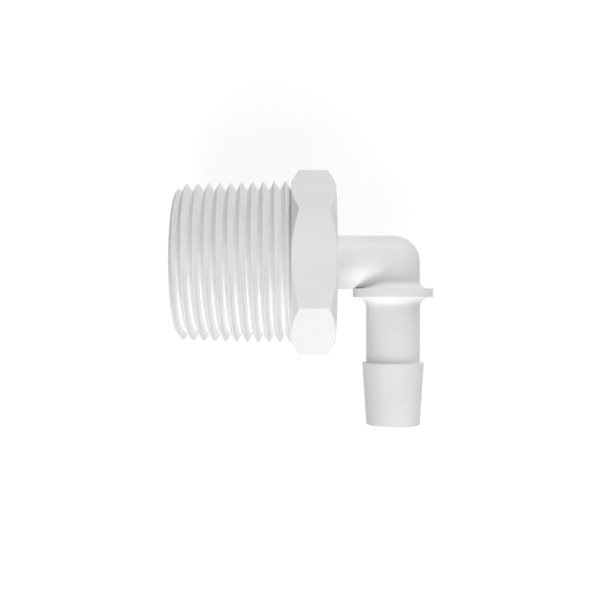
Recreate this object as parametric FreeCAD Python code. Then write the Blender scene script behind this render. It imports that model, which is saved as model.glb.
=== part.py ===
# Barbed elbow fitting, moulded in one piece: a 3/4 inch male taper pipe thread to a hose barb.
#
# Millimetres. The origin is the centre of the thread's open end. The thread runs along +X to a
# hexagon, a short round stub leads on to the elbow, and the barb points along -Y. The fitting
# lies on one flat of the hexagon, so that both of its axes are level and +Z is up.
import FreeCAD, Part
import math
import os

# Taper pipe thread: 14 right-hand threads to the inch, 60 degree form, taper of 1 in 16
THREAD_PITCH = 25.4 / 14
THREAD_TAPER = 1 / 16
THREAD_PITCH_DIA = 24.579
THREAD_FORM_ANGLE = 60.0
THREAD_LENGTH = 19.0
CREST_FLAT = 0.09
ROOT_FLAT = 0.12
TOP_CREST_GAP = 1.06
LEAD_DIA = 23.8
LEAD_LENGTH = 0.9
RUN_OUT_STEP = 0.25
RUN_OUT_LENGTH = 0.4

# The helix and the blends are drawn in straight steps, which stay within 0.07 mm of the true round
STEPS_PER_TURN = 32
STEPS_PER_BLEND = 4

# Hexagon for a 27 mm spanner, chamfered on both faces
HEX_ACROSS_FLATS = 27.0
HEX_THICKNESS = 7.2
HEX_FACE_SET_IN = 0.1
HEX_CHAMFER_ANGLE = 30.0

# Round tube of the stub and the leg, which meet in a ball corner
TUBE_DIA = 9.0
HEX_TO_LEG = 9.8
INNER_BEND_RADIUS = 2.0
STUB_FILLET = 0.6

# Collar that stops the hose, level with the underside of the stub
COLLAR_LAP = 0.1
COLLAR_THICKNESS = 1.5
COLLAR_WIDTH = 2.2
COLLAR_EDGE_CHAMFER = 0.15
COLLAR_TOP_FILLET = 1.4
COLLAR_UNDER_FILLET = 1.6

# Hose barb: a plain neck, a square shoulder and one long taper
NECK_LENGTH = 10.9
BARB_SHOULDER_HEIGHT = 0.65
BARB_LENGTH = 10.4
BARB_TIP_DIA = 9.0
BARB_TIP_CHAMFER = 0.25

# Bores left by the two mould cores
THREAD_WALL = 2.4
HEX_END_WALL = 2.6
THREAD_CORE_CHAMFER = 1.0
THREAD_MOUTH_CHAMFER = 0.4
PASSAGE_DIA = 6.2
PASSAGE_MOUTH_CHAMFER = 0.25

# How far a solid runs on inside the next one, and how far a cutter runs on past a surface
SINK = 1.0

ORIGIN = FreeCAD.Vector(0, 0, 0)
THREAD_AXIS = FreeCAD.Vector(1, 0, 0)
LEG_AXIS = FreeCAD.Vector(0, -1, 0)
TUBE_RADIUS = TUBE_DIA / 2
PASSAGE_RADIUS = PASSAGE_DIA / 2
HEX_FACE_RADIUS = HEX_ACROSS_FLATS / 2 - HEX_FACE_SET_IN
HEX_END = THREAD_LENGTH + HEX_THICKNESS
CORNER = FreeCAD.Vector(HEX_END + HEX_TO_LEG, 0, 0)
COLLAR_TOP = TUBE_RADIUS - COLLAR_LAP
COLLAR_BOTTOM = COLLAR_TOP + COLLAR_THICKNESS
SHOULDER_DROP = COLLAR_BOTTOM + NECK_LENGTH
TIP_DROP = SHOULDER_DROP + BARB_LENGTH


def form_height(flat):
    """Height from the pitch cone to the flat that cuts off the tip of the thread's V."""
    return (THREAD_PITCH / 2 - flat) / 2 / math.tan(math.radians(THREAD_FORM_ANGLE / 2))


def crest_radius(x):
    return (THREAD_PITCH_DIA + THREAD_TAPER * x) / 2 + form_height(CREST_FLAT)


def root_radius(x):
    return (THREAD_PITCH_DIA + THREAD_TAPER * x) / 2 - form_height(ROOT_FLAT)


def on_thread(x, radius):
    """A point of an outline that is turned about the thread's axis."""
    return FreeCAD.Vector(x, radius, 0)


def on_leg(radius, drop):
    """A point of an outline that is turned about the leg's axis, below the thread's axis."""
    return CORNER + FreeCAD.Vector(radius, -drop, 0)


def blend(start, corner, end):
    """Outline points on the quarter round that blends two faces, which would meet at the corner."""
    centre = [a + b - c for a, b, c in zip(start, end, corner)]
    angles = [math.radians(90 * step / STEPS_PER_BLEND) for step in range(STEPS_PER_BLEND + 1)]
    return [tuple(o + (a - o) * math.cos(angle) + (b - o) * math.sin(angle)
                  for o, a, b in zip(centre, start, end)) for angle in angles]


def turned(place, outline, base, axis):
    """A solid turned from an outline of straight lines, which starts and ends on its axis."""
    points = [place(*point) for point in outline]
    return Part.Face(Part.makePolygon(points + points[:1])).revolve(base, axis, 360)


def endless_thread():
    """A solid with the thread all round it, longer at both ends than the part needs.

    Its surface is a helical grid of corners, with four rows to a turn: two at the edges of
    the crest and two at the edges of the root. Flat facets join them, and a cone of facets
    that meet on the axis closes each end.
    """
    ahead = math.floor((THREAD_LENGTH - TOP_CREST_GAP) / THREAD_PITCH) + 3
    start = THREAD_LENGTH - TOP_CREST_GAP - ahead * THREAD_PITCH
    form = [
        (-CREST_FLAT / 2, crest_radius),
        (CREST_FLAT / 2, crest_radius),
        ((THREAD_PITCH - ROOT_FLAT) / 2, root_radius),
        ((THREAD_PITCH + ROOT_FLAT) / 2, root_radius),
    ]
    rows = len(form) * (ahead + 3)

    def corner(row, step):
        turn, place_in_form = divmod(row, len(form))
        offset, radius_at = form[place_in_form]
        turns = turn + step / STEPS_PER_TURN
        x = start + turns * THREAD_PITCH + offset
        angle = 2 * math.pi * turns
        return FreeCAD.Vector(x, radius_at(x) * math.cos(angle), radius_at(x) * math.sin(angle))

    def facet(*corners):
        return Part.Face(Part.makePolygon([*corners, corners[0]]))

    facets = []
    for row in range(rows):
        for step in range(STEPS_PER_TURN):
            facets.append(facet(corner(row, step), corner(row, step + 1), corner(row + 1, step + 1)))
            facets.append(facet(corner(row, step), corner(row + 1, step + 1), corner(row + 1, step)))
    for end_row, overhang in ((0, -3), (rows, 3)):
        rim = [corner(end_row, step) for step in range(STEPS_PER_TURN + 1)]
        rim += [corner(end_row + row, 0) for row in reversed(range(len(form)))]
        middle = FreeCAD.Vector(rim[0].x + overhang * THREAD_PITCH, 0, 0)
        facets += [facet(near, far, middle) for near, far in zip(rim, rim[1:])]
    return Part.Solid(Part.Shell(facets))


def thread_limit():
    """The turned blank that holds the thread, with a lead chamfer and a run-out chamfer."""
    lead_rise = crest_radius(LEAD_LENGTH) - LEAD_DIA / 2
    run_out_radius = HEX_FACE_RADIUS - RUN_OUT_STEP
    run_out_rise = crest_radius(THREAD_LENGTH - RUN_OUT_LENGTH) - run_out_radius
    past_crest = 1.3
    return turned(on_thread, [
        (0, 0),
        (0, LEAD_DIA / 2),
        (LEAD_LENGTH * past_crest, LEAD_DIA / 2 + lead_rise * past_crest),
        (THREAD_LENGTH - RUN_OUT_LENGTH * past_crest, run_out_radius + run_out_rise * past_crest),
        (THREAD_LENGTH, run_out_radius),
        (THREAD_LENGTH + SINK, run_out_radius),
        (THREAD_LENGTH + SINK, 0),
    ], ORIGIN, THREAD_AXIS)


def hexagon():
    """The hexagon, with one flat down, one flat up and both faces chamfered."""
    corner_radius = HEX_ACROSS_FLATS / math.sqrt(3)
    angles = [math.radians(60 * index) for index in range(7)]
    corners = [FreeCAD.Vector(THREAD_LENGTH, corner_radius * math.cos(angle),
                              corner_radius * math.sin(angle)) for angle in angles]
    blank = Part.Face(Part.makePolygon(corners)).extrude(THREAD_AXIS * HEX_THICKNESS)
    reach = corner_radius + SINK
    depth = (reach - HEX_FACE_RADIUS) * math.tan(math.radians(HEX_CHAMFER_ANGLE))
    chamfered = turned(on_thread, [
        (THREAD_LENGTH, 0),
        (THREAD_LENGTH, HEX_FACE_RADIUS),
        (THREAD_LENGTH + depth, reach),
        (HEX_END - depth, reach),
        (HEX_END, HEX_FACE_RADIUS),
        (HEX_END, 0),
    ], ORIGIN, THREAD_AXIS)
    return blank.common(chamfered)


def elbow_tube():
    """Stub and leg as round bars that meet in a ball, with the inner corner blended."""
    foot_radius = TUBE_RADIUS + STUB_FILLET
    stub = turned(on_thread, [
        (HEX_END - SINK, 0),
        (HEX_END - SINK, foot_radius),
        *blend((HEX_END, foot_radius), (HEX_END, TUBE_RADIUS), (HEX_END + STUB_FILLET, TUBE_RADIUS)),
        (CORNER.x, TUBE_RADIUS),
        (CORNER.x, 0),
    ], ORIGIN, THREAD_AXIS)
    leg = Part.makeCylinder(TUBE_RADIUS, COLLAR_BOTTOM + INNER_BEND_RADIUS / 2, CORNER, LEG_AXIS)
    tube = stub.fuse([leg, Part.makeSphere(TUBE_RADIUS, CORNER, LEG_AXIS)]).removeSplitter()
    crease = [edge for edge in tube.Edges
              if not edge.Degenerated and isinstance(edge.Curve, Part.Ellipse)]
    return tube.makeFillet(INNER_BEND_RADIUS, crease)


def collar_and_barb():
    """Leg, collar, neck and barb, turned about the leg's axis."""
    rim = TUBE_RADIUS + COLLAR_WIDTH
    edge = COLLAR_EDGE_CHAMFER
    over = min(COLLAR_TOP_FILLET, COLLAR_WIDTH - edge)
    under = min(COLLAR_UNDER_FILLET, COLLAR_WIDTH - edge)
    tip_radius = BARB_TIP_DIA / 2
    return turned(on_leg, [
        (0, 0),
        (TUBE_RADIUS, 0),
        *blend((TUBE_RADIUS, COLLAR_TOP - over), (TUBE_RADIUS, COLLAR_TOP),
               (TUBE_RADIUS + over, COLLAR_TOP)),
        (rim - edge, COLLAR_TOP),
        (rim, COLLAR_TOP + edge),
        (rim, COLLAR_BOTTOM - edge),
        (rim - edge, COLLAR_BOTTOM),
        *blend((TUBE_RADIUS + under, COLLAR_BOTTOM), (TUBE_RADIUS, COLLAR_BOTTOM),
               (TUBE_RADIUS, COLLAR_BOTTOM + under)),
        (TUBE_RADIUS, SHOULDER_DROP),
        (TUBE_RADIUS + BARB_SHOULDER_HEIGHT, SHOULDER_DROP),
        (tip_radius, TIP_DROP - BARB_TIP_CHAMFER),
        (tip_radius - BARB_TIP_CHAMFER, TIP_DROP),
        (0, TIP_DROP),
    ], CORNER, LEG_AXIS)


def thread_core():
    """The mould core of the threaded end and of the passage through the stub."""
    radius = root_radius(0) - THREAD_WALL
    mouth = THREAD_MOUTH_CHAMFER
    floor = HEX_END - HEX_END_WALL
    corner = min(THREAD_CORE_CHAMFER, radius - PASSAGE_RADIUS)
    return turned(on_thread, [
        (-SINK, 0),
        (-SINK, radius + mouth + SINK),
        (mouth, radius),
        (floor - corner, radius),
        (floor, radius - corner),
        (floor, PASSAGE_RADIUS),
        (CORNER.x, PASSAGE_RADIUS),
        (CORNER.x, 0),
    ], ORIGIN, THREAD_AXIS)


def barb_core():
    """The mould core of the barb, with a ball end where the two passages meet."""
    mouth = PASSAGE_MOUTH_CHAMFER
    pin = turned(on_leg, [
        (0, 0),
        (PASSAGE_RADIUS, 0),
        (PASSAGE_RADIUS, TIP_DROP - mouth),
        (PASSAGE_RADIUS + mouth + SINK, TIP_DROP + SINK),
        (0, TIP_DROP + SINK),
    ], CORNER, LEG_AXIS)
    return pin.fuse(Part.makeSphere(PASSAGE_RADIUS, CORNER, LEG_AXIS))


def elbow_fitting():
    """The whole moulding: hexagon, elbow and barb joined, then the thread, then the bores."""
    body = hexagon().fuse([elbow_tube(), collar_and_barb()]).removeSplitter()
    male_thread = endless_thread().common(thread_limit())
    return body.fuse(male_thread).cut([thread_core(), barb_core()]).removeSplitter()


os.makedirs("parts", exist_ok=True)
fitting = elbow_fitting()
fitting.exportStep("parts/elbow_fitting.step")
box = fitting.optimalBoundingBox(False, False)
print("valid", fitting.isValid(), "solids", len(fitting.Solids), "faces", len(fitting.Faces))
print("volume", round(fitting.Volume, 1), "size", round(box.XLength, 2), round(box.YLength, 2),
      round(box.ZLength, 2))
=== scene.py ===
# Barbed elbow fitting in white moulded plastic, seen square on to the plane of its two axes.
#
# The fitting is one moulding, so the scene has one piece: a threaded end, a hexagon, a tube that
# turns a corner, and a collar with a hose barb, joined and then cored out as the mould does it.
# Sizes are in millimetres and become metres where a tool is given them. Angles are in degrees.
import math

import bpy
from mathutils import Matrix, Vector


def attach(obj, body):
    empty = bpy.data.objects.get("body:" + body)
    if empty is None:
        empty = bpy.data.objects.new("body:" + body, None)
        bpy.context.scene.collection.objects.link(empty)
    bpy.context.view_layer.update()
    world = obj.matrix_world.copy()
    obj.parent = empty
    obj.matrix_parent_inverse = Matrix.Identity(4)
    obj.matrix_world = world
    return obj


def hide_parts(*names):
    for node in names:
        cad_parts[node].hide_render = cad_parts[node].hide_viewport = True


MM = 0.001

# Taper pipe thread: 14 threads to the inch, 60 degree form
THREAD_PITCH = 25.4 / 14
THREAD_TAPER = 1 / 16
THREAD_PITCH_DIA = 24.579
FLANK_ANGLE = 30.0
THREAD_LENGTH = 19.0
# From the hexagon to the last crest, on the side of +Y
TOP_CREST_GAP = 1.06
CREST_ROUND = 0.11
ROOT_ROUND = 0.104
LEAD_DIA = 23.8
LEAD_LENGTH = 0.9
RUN_OUT_LENGTH = 0.4
RUN_OUT_DIA = 26.3
# The cones of lead and run-out go on past the crests, to this many times their length
CUT_PAST_CREST = 1.3
# Turns wound past each end of the thread, which are cut off again
SPARE_TURNS = 2

# Hexagon
HEX_ACROSS_FLATS = 27.0
HEX_THICKNESS = 7.2
HEX_FACE_SET_IN = 0.1
HEX_CHAMFER_ANGLE = 30.0
HEX_CORNER_ROUND = 0.25
HEX_EDGE_ROUND = 0.1

# Tube of the stub and the leg
TUBE_DIA = 9.0
HEX_TO_LEG = 9.8
INNER_BEND_RADIUS = 2.0
STUB_FILLET = 0.6

# Collar
COLLAR_LAP = 0.1
COLLAR_THICKNESS = 1.5
COLLAR_WIDTH = 2.2
COLLAR_EDGE_ROUND = 0.15
COLLAR_TOP_FILLET = 1.4
COLLAR_UNDER_FILLET = 1.6

# Hose barb
NECK_LENGTH = 10.9
BARB_SHOULDER_HEIGHT = 0.65
BARB_SHOULDER_ROUND = 0.08
BARB_LENGTH = 10.4
BARB_TIP_DIA = 9.0
BARB_TIP_ROUND = 0.25

# Bores
THREAD_BORE_DIA = 18.416
HEX_END_WALL = 2.6
THREAD_CORE_ROUND = 1.0
THREAD_MOUTH_CHAMFER = 0.4
PASSAGE_DIA = 6.2
PASSAGE_MOUTH_CHAMFER = 0.25

# How far a solid runs on inside the next one, and how far a cutter runs on past a surface
SINK = 1.0

# Fineness of the mesh, and how near counts as the same place
THREAD_STEPS = 128
TURN_STEPS = 128
TIP_STEPS = 6
ROUND_STEPS = 8
HEX_ROUND_STEPS = 3
SMOOTH_ANGLE = 28.0
MERGE_WITHIN = 0.0005
NEAR = 0.001

# Sizes that follow from those above
SHARP_RISE = THREAD_PITCH / 4 / math.tan(math.radians(FLANK_ANGLE))
TUBE_RADIUS = TUBE_DIA / 2
PASSAGE_RADIUS = PASSAGE_DIA / 2
HEX_END = THREAD_LENGTH + HEX_THICKNESS
HEX_FACE_RADIUS = HEX_ACROSS_FLATS / 2 - HEX_FACE_SET_IN
LEG_X = HEX_END + HEX_TO_LEG
BEND_CORNER = (LEG_X, 0, 0)
COLLAR_TOP = TUBE_RADIUS - COLLAR_LAP
COLLAR_BOTTOM = COLLAR_TOP + COLLAR_THICKNESS
SHOULDER_DROP = COLLAR_BOTTOM + NECK_LENGTH
TIP_DROP = SHOULDER_DROP + BARB_LENGTH

# Plastic
CLOUD_SIZE = 5
CLOUD_DARK = "#EFEFEF"
CLOUD_LIGHT = "#F3F3F3"
GRAIN_SIZE = 0.3
GRAIN_DEPTH = 0.02
GRAIN_STRENGTH = 0.15
SATIN_ROUGHNESS = (0.36, 0.46)
POLYPROPYLENE_IOR = 1.49
# Noise seldom leaves this part of its range from 0 to 1
NOISE_RANGE = (0.3, 0.7)

# Table, just under the thread's largest crest
FLOOR_HEIGHT = -13.57
FLOOR_SIZE = 6000
FLOOR_PAPER = "#F4F4F4"
# Soft light meets a grey table, so that little of it bounces back up
FLOOR_BOUNCE = "#808080"
# The share of the table's white that is its own glow, and the strength of that glow
FLOOR_GLOW = 0.65
GLOW_STRENGTH = 1.22
# Distances from the middle of the table: the shadow is whole up to one and gone past the other
SHADOW_REACH = (60, 150)

# Light and camera
WHITE = (1, 1, 1, 1)
MIDDLE = (21, -6, 0)
ROOM_LIGHT = 0.26
LAMP_DISTANCE = 600
LAMP_SIZE = 560
CAMERA_PLACE = (20.39, -6.33, 147.84)
LENS_LENGTH = 52.8
SENSOR_WIDTH = 36
NEAREST_SEEN = 10


# Modelling tools

def place(*millimetres):
    """A place or a step in metres, from one in millimetres."""
    return Vector(millimetres) * MM


def object_mode():
    """Leaves edit mode with nothing selected."""
    if bpy.context.object and bpy.context.object.mode != "OBJECT":
        bpy.ops.object.mode_set(mode="OBJECT")
    bpy.ops.object.select_all(action="DESELECT")


def work_on(piece):
    """Selects one piece alone and makes it the active one."""
    object_mode()
    piece.select_set(True)
    bpy.context.view_layer.objects.active = piece


def apply_modifier(piece, kind, **settings):
    """Adds a modifier with these settings and applies it."""
    work_on(piece)
    modifier = piece.modifiers.new(kind.title(), kind)
    for setting, value in settings.items():
        setattr(modifier, setting, value)
    bpy.ops.object.modifier_apply(modifier=modifier.name)


def select_parts(piece, kind, wanted):
    """Enters edit mode with only the wanted vertices or edges selected."""
    work_on(piece)
    bpy.ops.object.mode_set(mode="EDIT")
    bpy.ops.mesh.select_mode(type={"vertices": "VERT", "edges": "EDGE"}[kind])
    bpy.ops.mesh.select_all(action="DESELECT")
    bpy.ops.object.mode_set(mode="OBJECT")
    for part in getattr(piece.data, kind):
        part.select = wanted(part)
    bpy.ops.object.mode_set(mode="EDIT")


def ends_of(piece, edge):
    """The places of an edge's two ends, in millimetres."""
    return [piece.data.vertices[index].co / MM for index in edge.vertices]


def open_edges(piece):
    """The numbers of the edges that have a face on one side only."""
    select_parts(piece, "edges", lambda edge: False)
    bpy.ops.mesh.select_non_manifold()
    object_mode()
    return {edge.index for edge in piece.data.edges if edge.select}


def merge_and_face_out(piece):
    """Merges what lies at one place and turns every face outwards."""
    work_on(piece)
    bpy.ops.object.mode_set(mode="EDIT")
    bpy.ops.mesh.select_all(action="SELECT")
    bpy.ops.mesh.remove_doubles(threshold=MERGE_WITHIN * MM)
    bpy.ops.mesh.normals_make_consistent(inside=False)
    object_mode()


def drawn_line(name, points):
    """A chain of edges through points in millimetres, drawn by extruding one vertex."""
    object_mode()
    bpy.ops.mesh.primitive_plane_add(size=MM)
    piece = bpy.context.object
    piece.name = name
    bpy.ops.object.mode_set(mode="EDIT")
    bpy.ops.mesh.select_mode(type="VERT")
    bpy.ops.mesh.select_all(action="SELECT")
    bpy.ops.mesh.merge(type="CENTER")
    bpy.ops.transform.translate(value=place(*points[0]))
    for here, there in zip(points, points[1:]):
        step = place(*there) - place(*here)
        bpy.ops.mesh.extrude_region_move(TRANSFORM_OT_translate={"value": step})
    object_mode()
    return piece


def rounded(start, corner, end):
    """Outline points on the quarter round that blends two faces, which would meet at the corner."""
    centre = [a + b - c for a, b, c in zip(start, end, corner)]
    angles = [math.radians(90 * step / ROUND_STEPS) for step in range(ROUND_STEPS + 1)]
    return [tuple(o + (a - o) * math.cos(angle) + (b - o) * math.sin(angle)
                  for o, a, b in zip(centre, start, end)) for angle in angles]


def turned_on_thread_axis(name, outline):
    """A solid of revolution about the thread's axis, from (distance, radius) corners."""
    piece = drawn_line(name, [(along, radius, 0) for along, radius in outline])
    apply_modifier(piece, "SCREW", axis="X", steps=TURN_STEPS, render_steps=TURN_STEPS)
    merge_and_face_out(piece)
    return piece


def turned_on_leg_axis(name, outline):
    """A solid of revolution about the leg's axis, from (radius, drop) corners."""
    piece = drawn_line(name, [(radius, -drop, 0) for radius, drop in outline])
    apply_modifier(piece, "SCREW", axis="Y", steps=TURN_STEPS, render_steps=TURN_STEPS)
    piece.location = place(*BEND_CORNER)
    work_on(piece)
    bpy.ops.object.transform_apply(location=True, rotation=False, scale=False)
    merge_and_face_out(piece)
    return piece


def round_edges(piece, weight_of, width, steps):
    """Rounds edges with a bevel whose width is scaled by each edge's own weight, from 0 to 1."""
    weights = piece.data.attributes.new("bevel_weight_edge", "FLOAT", "EDGE")
    for edge in piece.data.edges:
        weights.data[edge.index].value = weight_of(edge)
    apply_modifier(piece, "BEVEL", limit_method="WEIGHT", width=width * MM, segments=steps,
                   use_clamp_overlap=False)
    merge_and_face_out(piece)


def combine(piece, other, operation):
    """Joins another solid to a piece, cuts it away or keeps what they share. The other goes."""
    apply_modifier(piece, "BOOLEAN", object=other, operation=operation, solver="EXACT")
    bpy.data.objects.remove(other)


# The moulding's parts

def tip_arc(along, centre, radius, first, last, steps):
    """Points on the round tip of a thread form, from one angle to another, centred at a radius."""
    angles = [math.radians(first + (last - first) * step / steps) for step in range(steps + 1)]
    return [(along + radius * math.cos(angle), centre + radius * math.sin(angle))
            for angle in angles]


def thread_form():
    """One pitch of the thread's outline, from crest to crest, with the tips of the V rounded."""
    sharp_crest = THREAD_PITCH_DIA / 2 + SHARP_RISE
    sharp_root = THREAD_PITCH_DIA / 2 - SHARP_RISE
    # The centre of a round tip lies this many of its radii from the point of the sharp V
    set_back = 1 / math.sin(math.radians(FLANK_ANGLE))
    crest_centre = sharp_crest - set_back * CREST_ROUND
    root_centre = sharp_root + set_back * ROOT_ROUND
    return [
        *tip_arc(0, crest_centre, CREST_ROUND, 90, FLANK_ANGLE, TIP_STEPS // 2),
        *tip_arc(THREAD_PITCH / 2, root_centre, ROOT_ROUND, 180 + FLANK_ANGLE, 360 - FLANK_ANGLE,
                 TIP_STEPS),
        *tip_arc(THREAD_PITCH, crest_centre, CREST_ROUND, 180 - FLANK_ANGLE, 90, TIP_STEPS // 2),
    ]


def crest_radius(along):
    """Radius of the rounded crests, at a distance along the thread."""
    return (THREAD_PITCH_DIA + THREAD_TAPER * along) / 2 + SHARP_RISE - CREST_ROUND


def thread_blank():
    """The turned bar that the thread is cut from, with a cone for the lead and for the run-out."""
    lead_rise = crest_radius(LEAD_LENGTH) - LEAD_DIA / 2
    run_out_rise = crest_radius(THREAD_LENGTH - RUN_OUT_LENGTH) - RUN_OUT_DIA / 2
    return turned_on_thread_axis("thread_blank", [
        (0, 0),
        (0, LEAD_DIA / 2),
        (LEAD_LENGTH * CUT_PAST_CREST, LEAD_DIA / 2 + lead_rise * CUT_PAST_CREST),
        (THREAD_LENGTH - RUN_OUT_LENGTH * CUT_PAST_CREST,
         RUN_OUT_DIA / 2 + run_out_rise * CUT_PAST_CREST),
        (THREAD_LENGTH, RUN_OUT_DIA / 2),
        (THREAD_LENGTH + SINK, RUN_OUT_DIA / 2),
        (THREAD_LENGTH + SINK, 0),
    ])


def threaded_end():
    """The form wound into a helix, drawn out to a taper, closed, and cut to length."""
    top_crest = THREAD_LENGTH - TOP_CREST_GAP
    turns_below_top = math.floor(top_crest / THREAD_PITCH) + SPARE_TURNS
    start = top_crest - turns_below_top * THREAD_PITCH
    piece = drawn_line("threaded_end", [(start + along, radius, 0)
                                        for along, radius in thread_form()])
    apply_modifier(piece, "SCREW", axis="X", screw_offset=THREAD_PITCH * MM,
                   iterations=turns_below_top + SPARE_TURNS, steps=THREAD_STEPS,
                   render_steps=THREAD_STEPS)
    merge_and_face_out(piece)
    # The taper takes its growth over the piece's whole length, as a share of the size at X = 0
    reach = [vertex.co.x for vertex in piece.data.vertices]
    growth = THREAD_TAPER / THREAD_PITCH_DIA / MM * (max(reach) - min(reach))
    apply_modifier(piece, "SIMPLE_DEFORM", deform_method="TAPER", deform_axis="X", factor=growth)

    for side in (-1, 1):
        rim = open_edges(piece)
        select_parts(piece, "edges", lambda edge: edge.index in rim and
                     side * (ends_of(piece, edge)[0].x - THREAD_LENGTH / 2) > 0)
        bpy.ops.mesh.extrude_edges_move(
            TRANSFORM_OT_translate={"value": place(side * SPARE_TURNS * THREAD_PITCH, 0, 0)})
        bpy.ops.mesh.merge(type="CENTER")
    merge_and_face_out(piece)
    combine(piece, thread_blank(), "INTERSECT")
    return piece


def hexagon():
    """A six-sided bar chamfered on both faces, with its long edges and chamfer edges rounded."""
    corner_radius = HEX_ACROSS_FLATS / math.sqrt(3)
    object_mode()
    bpy.ops.mesh.primitive_cylinder_add(vertices=6, radius=corner_radius * MM,
                                        depth=HEX_THICKNESS * MM, rotation=(0, math.radians(90), 0),
                                        location=place(THREAD_LENGTH + HEX_THICKNESS / 2, 0, 0))
    piece = bpy.context.object
    piece.name = "hexagon"
    bpy.ops.object.transform_apply(location=True, rotation=True, scale=True)
    select_parts(piece, "edges", lambda edge: abs(
        ends_of(piece, edge)[0].x - ends_of(piece, edge)[1].x) > HEX_THICKNESS / 2)
    bpy.ops.mesh.bevel(offset=HEX_CORNER_ROUND * MM, segments=HEX_ROUND_STEPS)
    object_mode()

    reach = corner_radius + SINK
    depth = (reach - HEX_FACE_RADIUS) * math.tan(math.radians(HEX_CHAMFER_ANGLE))
    combine(piece, turned_on_thread_axis("hex_blank", [
        (THREAD_LENGTH, 0),
        (THREAD_LENGTH, HEX_FACE_RADIUS),
        (THREAD_LENGTH + depth, reach),
        (HEX_END - depth, reach),
        (HEX_END, HEX_FACE_RADIUS),
        (HEX_END, 0),
    ]), "INTERSECT")
    merge_and_face_out(piece)

    # How far the two faces at each edge turn towards the bar's ends, from 0 to 1
    tilts = {}
    for face in piece.data.polygons:
        for key in face.edge_keys:
            tilts.setdefault(key, []).append(abs(face.normal.x))

    def is_between_side_and_chamfer(edge):
        least, most = sorted(tilts[edge.key])
        return least < NEAR < most < 1 - NEAR

    round_edges(piece, is_between_side_and_chamfer, HEX_EDGE_ROUND, HEX_ROUND_STEPS)
    return piece


def blind_tube(name, rings, circle_turn, centre, along):
    """A tube with a closed foot and an open end, extruded ring by ring from (reach, radius)."""
    object_mode()
    reach, radius = rings[0]
    bpy.ops.mesh.primitive_circle_add(vertices=TURN_STEPS, radius=radius * MM, fill_type="NGON",
                                      rotation=circle_turn, location=centre + along * reach * MM)
    piece = bpy.context.object
    piece.name = name
    bpy.ops.object.transform_apply(location=True, rotation=True, scale=True)
    bpy.ops.object.mode_set(mode="EDIT")
    bpy.ops.mesh.select_mode(type="FACE")
    bpy.ops.mesh.select_all(action="SELECT")
    for next_reach, next_radius in rings[1:]:
        bpy.ops.mesh.extrude_region_move(
            TRANSFORM_OT_translate={"value": along * (next_reach - reach) * MM})
        bpy.ops.transform.resize(value=[next_radius / radius] * 3,
                                 center_override=centre + along * next_reach * MM)
        reach, radius = next_reach, next_radius
    bpy.ops.mesh.delete(type="ONLY_FACE")
    object_mode()
    return piece


def lean_to_mitre(piece, turn, is_inner_end):
    """Leans the inner half of a tube's open end on to the slanting plane where two tubes meet.

    A positive turn is clockwise as the camera sees it, which is how rotate works with no window.
    """
    corner = place(*BEND_CORNER)
    stretch = math.sqrt(2)
    select_parts(piece, "vertices", lambda vertex: is_inner_end(vertex.co / MM))
    bpy.ops.transform.rotate(value=math.radians(turn), orient_axis="Z", center_override=corner)
    bpy.ops.transform.resize(value=(stretch, stretch, 1), center_override=corner)
    object_mode()


def elbow(name, stub_rings, leg_rings):
    """Two tubes of one size that meet in a ball outside and a mitre inside, closed at both feet."""
    corner = place(*BEND_CORNER)
    stub = blind_tube(name, stub_rings, (0, math.radians(90), 0), Vector(), Vector((1, 0, 0)))
    lean_to_mitre(stub, 45, lambda spot: abs(spot.x - LEG_X) < NEAR and spot.y < -NEAR)
    select_parts(stub, "edges", lambda edge: all(abs(end.x - LEG_X) < NEAR and end.y > -NEAR
                                                 for end in ends_of(stub, edge)))
    bpy.ops.mesh.spin(steps=TURN_STEPS // 4, angle=math.radians(90), center=corner, axis=(0, 0, 1))
    leg = blind_tube("leg", leg_rings, (math.radians(90), 0, 0), corner, Vector((0, -1, 0)))
    lean_to_mitre(leg, -45, lambda spot: abs(spot.y) < NEAR and spot.x < LEG_X - NEAR)
    leg.select_set(True)
    stub.select_set(True)
    bpy.context.view_layer.objects.active = stub
    bpy.ops.object.join()
    merge_and_face_out(stub)
    return stub


def elbow_tube():
    """The outside of stub and leg. A ball of the bend's radius would roll in its inner corner."""
    foot_radius = TUBE_RADIUS + STUB_FILLET
    piece = elbow("elbow_tube", [
        (HEX_END - SINK, foot_radius),
        *rounded((HEX_END, foot_radius), (HEX_END, TUBE_RADIUS),
                 (HEX_END + STUB_FILLET, TUBE_RADIUS)),
        (LEG_X, TUBE_RADIUS),
    ], [
        (COLLAR_BOTTOM + SINK, TUBE_RADIUS),
        (0, TUBE_RADIUS),
    ])

    def share_of_bend(edge):
        """How far from a mitre edge the ball touches, as a share of its radius, or 0 elsewhere."""
        ends = ends_of(piece, edge)
        on_mitre = all(abs(end.x - LEG_X - end.y) < NEAR and end.y < NEAR for end in ends)
        across = (ends[0].z + ends[1].z) / 2 / TUBE_RADIUS
        if not on_mitre or abs(across) >= 1:
            return 0
        angle_between_tubes = math.acos(across * across)
        return math.tan(angle_between_tubes / 2)

    round_edges(piece, share_of_bend, INNER_BEND_RADIUS, ROUND_STEPS)
    return piece


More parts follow.
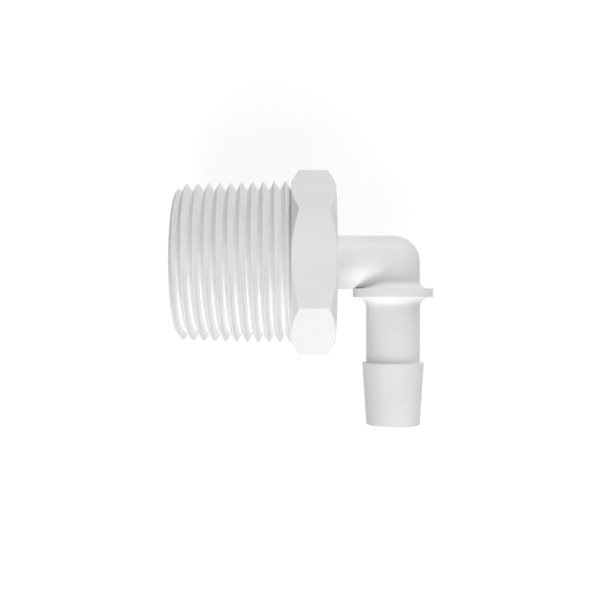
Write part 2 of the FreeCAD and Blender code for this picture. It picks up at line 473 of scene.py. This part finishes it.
def collar_and_barb():
    """Collar, neck and barb, turned about the leg's axis."""
    rim = TUBE_RADIUS + COLLAR_WIDTH
    edge = COLLAR_EDGE_ROUND
    over = COLLAR_TOP_FILLET
    under = COLLAR_UNDER_FILLET
    shoulder = TUBE_RADIUS + BARB_SHOULDER_HEIGHT
    corner = BARB_SHOULDER_ROUND
    tip_radius = BARB_TIP_DIA / 2
    return turned_on_leg_axis("collar_and_barb", [
        (0, COLLAR_TOP - over),
        *rounded((TUBE_RADIUS, COLLAR_TOP - over), (TUBE_RADIUS, COLLAR_TOP),
                 (TUBE_RADIUS + over, COLLAR_TOP)),
        *rounded((rim - edge, COLLAR_TOP), (rim, COLLAR_TOP), (rim, COLLAR_TOP + edge)),
        *rounded((rim, COLLAR_BOTTOM - edge), (rim, COLLAR_BOTTOM), (rim - edge, COLLAR_BOTTOM)),
        *rounded((TUBE_RADIUS + under, COLLAR_BOTTOM), (TUBE_RADIUS, COLLAR_BOTTOM),
                 (TUBE_RADIUS, COLLAR_BOTTOM + under)),
        (TUBE_RADIUS, SHOULDER_DROP),
        *rounded((shoulder - corner, SHOULDER_DROP), (shoulder, SHOULDER_DROP),
                 (shoulder, SHOULDER_DROP + corner)),
        *rounded((tip_radius, TIP_DROP - BARB_TIP_ROUND), (tip_radius, TIP_DROP),
                 (tip_radius - BARB_TIP_ROUND, TIP_DROP)),
        (0, TIP_DROP),
    ])


def thread_core():
    """The mould core of the threaded end."""
    radius = THREAD_BORE_DIA / 2
    mouth = THREAD_MOUTH_CHAMFER
    bottom = HEX_END - HEX_END_WALL
    corner = THREAD_CORE_ROUND
    return turned_on_thread_axis("thread_core", [
        (-SINK, 0),
        (-SINK, radius + mouth + SINK),
        (mouth, radius),
        *rounded((bottom - corner, radius), (bottom, radius), (bottom, radius - corner)),
        (bottom, 0),
    ])


def passage_core():
    """The narrow passage from the bottom of the wide bore, round the corner and out of the barb."""
    return elbow("passage_core", [
        (HEX_END - HEX_END_WALL - SINK, PASSAGE_RADIUS),
        (LEG_X, PASSAGE_RADIUS),
    ], [
        (TIP_DROP + SINK, PASSAGE_RADIUS + PASSAGE_MOUTH_CHAMFER + SINK),
        (TIP_DROP - PASSAGE_MOUTH_CHAMFER, PASSAGE_RADIUS),
        (0, PASSAGE_RADIUS),
    ])


def moulded_fitting():
    """The parts joined to one skin and cored out, with flat faces kept flat in the shading."""
    piece = threaded_end()
    for part in (hexagon(), elbow_tube(), collar_and_barb()):
        combine(piece, part, "UNION")
    for core in (thread_core(), passage_core()):
        combine(piece, core, "DIFFERENCE")
    piece.name = "moulded_fitting"
    merge_and_face_out(piece)
    work_on(piece)
    bpy.ops.object.shade_smooth_by_angle(angle=math.radians(SMOOTH_ANGLE), keep_sharp_edges=False)
    apply_modifier(piece, "WEIGHTED_NORMAL", keep_sharp=True)
    return piece


# Materials

def linear(hex_colour):
    """An sRGB hex colour as the linear colour that a shader takes."""
    channels = [int(hex_colour[start:start + 2], 16) / 255 for start in (1, 3, 5)]
    return (*[c / 12.92 if c <= 0.04045 else ((c + 0.055) / 1.055) ** 2.4 for c in channels], 1)


def add(tree, kind, inputs, **settings):
    """Adds a node with its settings, and gives each named input its value or its link."""
    node = tree.nodes.new(kind)
    for setting, value in settings.items():
        setattr(node, setting, value)
    for socket, value in inputs.items():
        if isinstance(value, bpy.types.NodeSocket):
            tree.links.new(value, node.inputs[socket])
        else:
            node.inputs[socket].default_value = value
    return node


def new_material(name):
    """A material with an empty node tree."""
    material = bpy.data.materials.new(name)
    material.use_nodes = True
    material.node_tree.nodes.clear()
    return material


def moulded_polypropylene():
    """Natural white polypropylene, injection moulded in a satin steel mould."""
    material = new_material("moulded_white_polypropylene")
    tree = material.node_tree
    here = add(tree, "ShaderNodeTexCoord", {}).outputs["Object"]
    # The melt cools unevenly, which leaves clouds of 5 mm, a hundredth or two lighter or darker
    clouds = add(tree, "ShaderNodeTexNoise", {"Vector": here, "Scale": 1 / (CLOUD_SIZE * MM),
                                              "Detail": 2})
    colour = add(tree, "ShaderNodeValToRGB", {"Fac": clouds.outputs["Fac"]})
    for stop, position, shade in zip(colour.color_ramp.elements, NOISE_RANGE,
                                     (CLOUD_DARK, CLOUD_LIGHT)):
        stop.position = position
        stop.color = linear(shade)
    # The mould's satin grain is too fine to show, so it is drawn at 0.3 mm. It dulls the gloss by
    # patches and barely dents it
    grain = add(tree, "ShaderNodeTexNoise", {"Vector": here, "Scale": 1 / (GRAIN_SIZE * MM),
                                             "Detail": 3})
    roughness = add(tree, "ShaderNodeMapRange", {
        "Value": grain.outputs["Fac"], "From Min": NOISE_RANGE[0], "From Max": NOISE_RANGE[1],
        "To Min": SATIN_ROUGHNESS[0], "To Max": SATIN_ROUGHNESS[1]})
    dents = add(tree, "ShaderNodeBump", {"Height": grain.outputs["Fac"],
                                         "Strength": GRAIN_STRENGTH, "Distance": GRAIN_DEPTH * MM})
    plastic = add(tree, "ShaderNodeBsdfPrincipled", {
        "Base Color": colour.outputs["Color"], "Roughness": roughness.outputs["Result"],
        "Normal": dents.outputs["Normal"], "IOR": POLYPROPYLENE_IOR})
    add(tree, "ShaderNodeOutputMaterial", {"Surface": plastic.outputs["BSDF"]})
    return material


def seen_directly(tree):
    """1 for rays that come from the camera, off gloss or through glass, and 0 for soft light."""
    rays = add(tree, "ShaderNodeLightPath", {})
    either = rays.outputs["Is Camera Ray"]
    for kind in ("Is Glossy Ray", "Is Transmission Ray"):
        either = add(tree, "ShaderNodeMath", {0: either, 1: rays.outputs[kind]},
                     operation="MAXIMUM").outputs["Value"]
    return either


def white_table():
    """A matt white table that shows the fitting's soft shadow and fades to white around it."""
    material = new_material("white_table")
    tree = material.node_tree
    paper = add(tree, "ShaderNodeBsdfDiffuse", {"Color": linear(FLOOR_PAPER)})
    glow = add(tree, "ShaderNodeEmission", {"Color": WHITE, "Strength": GLOW_STRENGTH})
    lit = add(tree, "ShaderNodeMixShader", {0: FLOOR_GLOW, 1: paper.outputs["BSDF"],
                                            2: glow.outputs["Emission"]})
    here = add(tree, "ShaderNodeTexCoord", {}).outputs["Object"]
    away = add(tree, "ShaderNodeVectorMath", {0: here}, operation="LENGTH")
    fade = add(tree, "ShaderNodeMapRange", {
        "Value": away.outputs["Value"], "From Min": SHADOW_REACH[0] * MM,
        "From Max": SHADOW_REACH[1] * MM}, interpolation_type="SMOOTHSTEP")
    white = add(tree, "ShaderNodeEmission", {"Color": WHITE, "Strength": 1})
    table = add(tree, "ShaderNodeMixShader", {0: fade.outputs["Result"], 1: lit.outputs["Shader"],
                                              2: white.outputs["Emission"]})
    dull = add(tree, "ShaderNodeBsdfDiffuse", {"Color": linear(FLOOR_BOUNCE)})
    shown = add(tree, "ShaderNodeMixShader", {0: seen_directly(tree), 1: dull.outputs["BSDF"],
                                              2: table.outputs["Shader"]})
    add(tree, "ShaderNodeOutputMaterial", {"Surface": shown.outputs["Shader"]})
    return material


# Light and camera

def light_world():
    """An even pale room, which the camera sees as white."""
    world = bpy.data.worlds.new("pale_room")
    world.use_nodes = True
    tree = world.node_tree
    tree.nodes.clear()
    room = add(tree, "ShaderNodeBackground", {"Color": WHITE, "Strength": ROOM_LIGHT})
    white = add(tree, "ShaderNodeBackground", {"Color": WHITE, "Strength": 1})
    shown = add(tree, "ShaderNodeMixShader", {0: seen_directly(tree), 1: room.outputs["Background"],
                                              2: white.outputs["Background"]})
    add(tree, "ShaderNodeOutputWorld", {"Surface": shown.outputs["Shader"]})
    bpy.context.scene.world = world


def soft_light(name, turn, tilt, brightness):
    """A square soft box at a turn from +X and a tilt from straight above, facing the fitting.

    A small box with a brightness of 1 would show a white surface that faces it as white. A box as
    large as this one gives about four fifths of that.
    """
    turn = math.radians(turn)
    tilt = math.radians(tilt)
    towards = Vector((math.sin(tilt) * math.cos(turn), math.sin(tilt) * math.sin(turn),
                      math.cos(tilt)))
    lamp = bpy.data.lights.new(name, "AREA")
    lamp.size = LAMP_SIZE * MM
    lamp.energy = brightness * (math.pi * LAMP_DISTANCE * MM) ** 2
    box = bpy.data.objects.new(name, lamp)
    box.location = place(*MIDDLE) + towards * LAMP_DISTANCE * MM
    box.rotation_euler = towards.to_track_quat("Z", "Y").to_euler()
    box.visible_camera = False
    bpy.context.collection.objects.link(box)


def camera():
    """Square on to the plane of the axes, at the photograph's distance and width of view."""
    lens = bpy.data.cameras.new("camera")
    lens.lens = LENS_LENGTH
    lens.sensor_width = SENSOR_WIDTH
    lens.clip_start = NEAREST_SEEN * MM
    eye = bpy.data.objects.new("camera", lens)
    eye.location = place(*CAMERA_PLACE)
    bpy.context.collection.objects.link(eye)
    bpy.context.scene.camera = eye


# The scene

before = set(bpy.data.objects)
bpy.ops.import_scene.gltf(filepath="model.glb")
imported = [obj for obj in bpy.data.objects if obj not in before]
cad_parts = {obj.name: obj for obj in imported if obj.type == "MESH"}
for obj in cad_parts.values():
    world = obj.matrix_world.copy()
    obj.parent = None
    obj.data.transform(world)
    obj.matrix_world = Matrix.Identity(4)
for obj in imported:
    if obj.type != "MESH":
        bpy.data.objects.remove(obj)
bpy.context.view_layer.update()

fitting = moulded_fitting()
fitting.data.materials.clear()
fitting.data.materials.append(moulded_polypropylene())
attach(fitting, "root")
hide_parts("elbow_fitting")

object_mode()
bpy.ops.mesh.primitive_plane_add(size=FLOOR_SIZE * MM, location=place(*MIDDLE[:2], FLOOR_HEIGHT))
floor = bpy.context.object
floor.name = "table"
floor.data.materials.append(white_table())

light_world()
soft_light("main_box", 270, 55, 0.8)
soft_light("side_box", 62, 72, 0.54)
soft_light("low_box", 240, 74, 0.24)
soft_light("rim_box", 88, 86, 0.34)
camera()
bpy.context.scene.view_settings.view_transform = "Standard"
